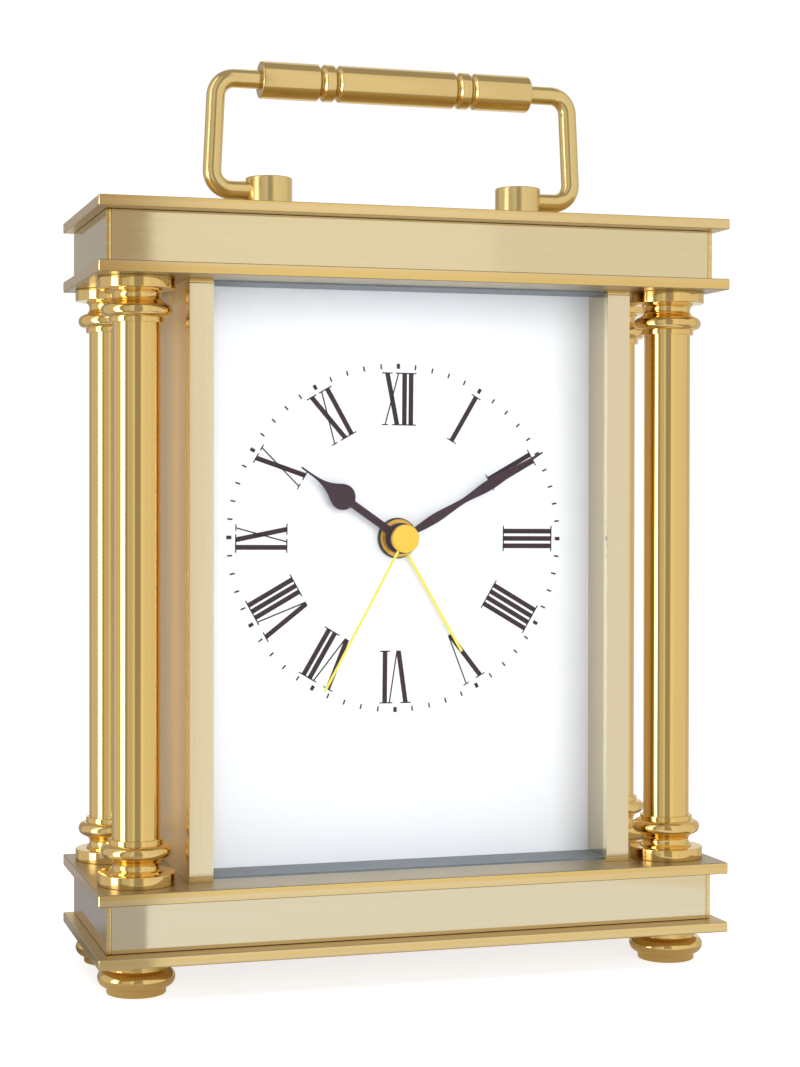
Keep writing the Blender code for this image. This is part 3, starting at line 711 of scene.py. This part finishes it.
def makeHandle():
    s = handleSpec
    left = bailRoute()
    right = [(-x, z) for x, z in reversed(left)]
    shape = sweepRod(left + right, s["rod"], s["y"])
    addPiece("bailRod", shape, "handle", rodBrass, ["handle_bail"], 50)
    r, depth, flank, easing = s["gripRadius"], s["grooveDepth"], s["grooveHalf"], s["grooveEasing"]
    bore, half = s["rod"] + s["clearance"], s["gripHalf"]
    corners = [(bore, -half, 0), (r, -half, s["gripEasing"])]
    for bead in (-s["bead"], s["bead"]):
        for groove in (bead - s["beadHalf"], bead + s["beadHalf"]):
            corners += [(r, groove - flank, easing), (r - depth, groove, easing), (r, groove + flank, easing)]
    corners += [(r, half, s["gripEasing"]), (bore, half, 0)]
    shape = lathe(softened(corners), (0.0, s["y"] * mm, s["gripZ"] * mm), "X", 72, bore)
    addPiece("turnedGrip", shape, "handle", gripBrass, ["handle_grip"], 24)
    base = plateSpec["levels"]["cornice_top_plate"][1]
    for side, sign in (("left", -1), ("right", 1)):
        post = softened([(s["postRadius"], 0.0, 0), (s["postRadius"], s["postTop"] - base, s["postEasing"]),
                         (0.05, s["postTop"] - base, 0)])
        shape = lathe(post, (sign * s["postX"] * mm, s["y"] * mm, base * mm))
        addPiece(side + "HandlePost", shape, "case", postBrass,
                 ["handle_post_" + side], 32)


# rear door
knobSpec = {"x": -40.0, "z": 83.2, "start": 19.0}


def makeDoorKnob():
    profile = softened([(1.7, 0.0, 0), (1.35, 1.2, 0.4), (1.4, 1.9, 0.3), (2.3, 2.6, 0.6), (2.45, 3.4, 0.6),
                        (1.7, 4.35, 0.7), (0.05, 4.5, 0)])
    shape = lathe(profile, (knobSpec["x"] * mm, knobSpec["start"] * mm, knobSpec["z"] * mm), "Y", 48)
    addPiece("doorKnob", shape, "door", turnedBrass, ["rear_door_knob"], 40)


# carried-over pieces
keptFinish = {
    "rear_door": sheetBrass, "door_pin_top": nickelSteel, "door_pin_bottom": nickelSteel,
    "centre_bush": hubGold, "movement_housing": blackPlastic, "movement_back_cover": blackPlastic,
    "time_set_knob": blackPlastic, "alarm_set_knob": blackPlastic, "alarm_switch": ivoryPlastic,
    "alarm_wheel": ivoryPlastic, "hour_wheel": ivoryPlastic, "motion_wheel": ivoryPlastic,
    "step_wheel": ivoryPlastic, "cannon_pinion": nickelSteel, "seconds_wheel": nickelSteel,
    "contact_positive": nickelSteel, "contact_negative": nickelSteel, "circuit_board": boardMask,
    "motor_coil": coilWire, "battery": cellSleeve}


def dressKeptNodes():
    for name, finish in keptFinish.items():
        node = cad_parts[name]
        if not node.material_slots:
            node.data.materials.append(finish)
        for held in node.material_slots:
            held.material = finish


makePlates()
makeBands()
makePillars()
print("plates and pillars made")
makeCase()
makeDial()
makeHands()
print("case, dial and hands made")
makeHandle()
makeDoorKnob()
dressKeptNodes()
print("handle, door and kept pieces made")

# studio
studio = {"world": 0.55, "floorTone": 0.50, "floorGlow": 0.74, "floorRadius": 4.0, "cardBottom": -0.3,
          "aim": (0.0, 0.0, 0.09)}
rooms = {  # radius, colour, strength
    "dullRoom": (3.0, (0.92, 0.88, 0.84), 0.42),
    "whiteRoom": (3.5, (1.0, 1.0, 1.0), 1.05)}
softboxes = {  # size, place, power
    "topSoftbox": (1.6, (0.0, -0.1, 1.5), 16.0),
    "keySoftbox": (1.4, (0.1, -1.45, 0.10), 27.0)}
tableLook = {  # the part of the table that the brass reflects, distances in metres
    "radius": 0.14, "halfWidth": 0.072, "halfDepth": 0.034, "spread": 0.4,
    "shades": ((0.22, (0.36, 0.29, 0.23)), (0.44, (0.56, 0.51, 0.45)), (0.66, (0.84, 0.88, 1.0))),
    "rear": ((0.50, (1.0, 1.0, 1.0)), (0.52, (0.40, 0.385, 0.37))),
    "cornerSlope": 0.182, "cornerX": -0.061, "cornerY": -0.045, "cornerShare": 0.5,
    "cornerTone": (0.10, 0.07, 0.04)}
cards = {  # corners on the ground (x, y) in metres, top, colour, strength
    "leftStrip": ((-0.455, -0.195), (-0.50, -0.03), 0.21, (1.0, 1.0, 1.0), 4.2),
    "leftHaze": ((-0.462, -0.195), (-0.507, -0.03), 1.0, (1.0, 1.0, 1.0), 1.7),
    "leftRear": ((-0.50, -0.03), (-0.42, 0.42), 1.0, (1.0, 0.97, 0.98), 0.66),
    "rearDim": ((-0.42, 0.42), (-0.05, 0.43), 1.0, (1.0, 0.95, 0.93), 0.42),
    "rearBright": ((-0.05, 0.43), (0.45, 0.45), 1.0, (1.0, 0.98, 0.95), 0.80),
    "frontFar": ((-0.62, -0.45), (-0.30, -0.45), 0.9, (1.0, 1.0, 0.95), 0.60),
    "frontNear": ((-0.30, -0.45), (-0.19, -0.45), 0.9, (1.0, 1.0, 0.98), 0.76),
    "frontDark": ((-0.19, -0.45), (-0.03, -0.45), 0.9, (1.0, 1.0, 1.05), 0.36),
    "frontEdge": ((-0.03, -0.45), (0.022, -0.45), 0.9, (1.0, 0.84, 0.70), 0.45),
    "screenNear": ((0.022, -0.45), (0.09, -0.45), 1.1, (1.0, 0.99, 0.96), 0.88),
    "screenMiddle": ((0.09, -0.45), (0.17, -0.45), 1.1, (1.0, 0.99, 0.97), 0.88),
    "screenFar": ((0.17, -0.45), (0.75, -0.45), 1.1, (1.0, 0.98, 0.96), 0.81),
    "rightScreen": ((0.75, -0.45), (0.62, 0.0), 1.1, (1.0, 0.97, 0.94), 0.78),
    "rightRear": ((0.62, 0.0), (0.45, 0.45), 1.1, (1.0, 0.97, 0.94), 0.62)}


def glowMaterial(name, color, strength):
    finish = Finish(name)
    glow = finish.node("ShaderNodeEmission", {}, {"Color": (*color, 1.0), "Strength": strength})
    finish.plug(finish.nodes["Material Output"].inputs["Surface"], glow)
    finish.nodes.remove(finish.shader)
    return finish.material


def stageMesh(name, bm, finish, onlyReflected):
    mesh = bpy.data.meshes.new(name)
    bm.to_mesh(mesh)
    bm.free()
    mesh.materials.append(finish)
    thing = bpy.data.objects.new(name, mesh)
    scene.collection.objects.link(thing)
    if onlyReflected:
        thing.visible_camera = False
        thing.visible_diffuse = False
        thing.visible_transmission = False
        thing.visible_shadow = False
        thing.visible_volume_scatter = False
    return thing


def makeFloor():
    bm = bmesh.new()
    bmesh.ops.create_circle(bm, cap_ends=True, segments=96, radius=studio["floorRadius"])
    tone, glow = studio["floorTone"], studio["floorGlow"]
    paper = Finish("paleFloor")
    fibre = paper.noise((200, 200, 200), 2.0)
    paper.set(Base_Color=paper.blend(fibre, (tone, tone, tone), (tone, tone, tone * 0.99)), Roughness=0.9,
              Emission_Color=(glow, glow, glow, 1.0), Emission_Strength=1.0)
    floor = stageMesh("paleFloor", bm, paper.material, False)
    floor.visible_glossy = False


def makeTableGlow():
    # only reflections see it: shaded under the clock, behind it and at its front left
    look = tableLook
    bm = bmesh.new()
    bmesh.ops.create_circle(bm, cap_ends=True, segments=64, radius=look["radius"])
    sheen = Finish("tableGlow")
    spot = sheen.spot((1, 1, 1))
    across = sheen.node("ShaderNodeSeparateXYZ", {}, {0: spot})
    along = sheen.node("ShaderNodeSeparateXYZ", {}, {0: spot}, 1)
    reach = sheen.node("ShaderNodeMath", {"operation": "ABSOLUTE"}, {0: across}) / look["halfWidth"]
    depth = sheen.node("ShaderNodeMath", {"operation": "ABSOLUTE"}, {0: along}) / look["halfDepth"]
    away = sheen.node("ShaderNodeMath", {"operation": "MAXIMUM"}, {0: reach, 1: depth})
    shade = sheen.node("ShaderNodeValToRGB", {"stops": look["shades"]}, {0: away * look["spread"]})
    rear = sheen.node("ShaderNodeValToRGB", {"stops": look["rear"]}, {0: along + 0.5})
    left = across + along * look["cornerSlope"] < look["cornerX"]
    corner = left * (along < look["cornerY"]) * look["cornerShare"]
    lit = sheen.node("ShaderNodeMix", {"data_type": "RGBA", "blend_type": "MULTIPLY"},
                     {0: 1.0, 6: shade, 7: rear}, 2)
    sheen.set(Base_Color=(0.0, 0.0, 0.0, 1.0), Specular_IOR_Level=0.0, Emission_Strength=1.0,
              Emission_Color=sheen.blend(corner, lit, look["cornerTone"]))
    stageMesh("tableGlow", bm, sheen.material, True)


def makeRoom(name):
    radius, color, strength = rooms[name]
    bm = bmesh.new()
    bmesh.ops.create_uvsphere(bm, u_segments=48, v_segments=24, radius=radius)
    return stageMesh(name, bm, glowMaterial(name, color, strength), True)


def makeStudio():
    world = bpy.data.worlds.new("studioWorld")
    world.use_nodes = True
    backdrop = world.node_tree.nodes["Background"].inputs
    backdrop["Color"].default_value = (1.0, 1.0, 1.0, 1.0)
    backdrop["Strength"].default_value = studio["world"]
    scene.world = world
    scene.view_settings.view_transform = "Standard"
    makeFloor()
    makeTableGlow()
    makeRoom("dullRoom")
    wall = makeRoom("whiteRoom")  # the white wall behind, which lights nothing
    wall.visible_camera = True
    wall.visible_glossy = False
    bottom = studio["cardBottom"]
    for name, ((x0, y0), (x1, y1), top, color, strength) in cards.items():
        bm = bmesh.new()
        corners = ((x0, y0, bottom), (x1, y1, bottom), (x1, y1, top), (x0, y0, top))
        bm.faces.new([bm.verts.new(p) for p in corners])
        stageMesh(name, bm, glowMaterial(name, color, strength), True)
    for name, (size, place, power) in softboxes.items():
        data = bpy.data.lights.new(name, "AREA")
        data.size = size
        data.energy = power
        lamp = bpy.data.objects.new(name, data)
        lamp.location = place
        lamp.rotation_euler = (Vector(studio["aim"]) - Vector(place)).to_track_quat("-Z", "Y").to_euler()
        lamp.visible_glossy = False
        scene.collection.objects.link(lamp)


# camera
cameraSpec = {"place": (-0.13216, -0.43282, 0.10205), "yaw": 16.211, "pitch": -0.55, "roll": 0.080,
              "sensor": 36.0, "lens": 70.87, "shiftX": 0.0333, "shiftY": -0.0244, "nearest": 0.01}


def makeCamera():
    s = cameraSpec
    data = bpy.data.cameras.new("mainCamera")
    data.sensor_fit = "VERTICAL"
    data.sensor_height = s["sensor"]
    data.lens = s["lens"]
    data.shift_x = s["shiftX"]
    data.shift_y = s["shiftY"]
    data.clip_start = s["nearest"]
    camera = bpy.data.objects.new("mainCamera", data)
    yaw, pitch, roll = (math.radians(s[key]) for key in ("yaw", "pitch", "roll"))
    ahead = Vector((math.sin(yaw) * math.cos(pitch), math.cos(yaw) * math.cos(pitch), math.sin(pitch)))
    right = Vector((math.cos(yaw), -math.sin(yaw), 0.0))
    up = right.cross(ahead)
    tilted = right * math.cos(roll) + up * math.sin(roll)
    upward = tilted.cross(ahead)
    turn = Matrix((tilted, upward, -ahead)).transposed()
    camera.matrix_world = Matrix.Translation(s["place"]) @ turn.to_4x4()
    scene.collection.objects.link(camera)
    scene.camera = camera


makeStudio()
makeCamera()
print("studio and camera made")
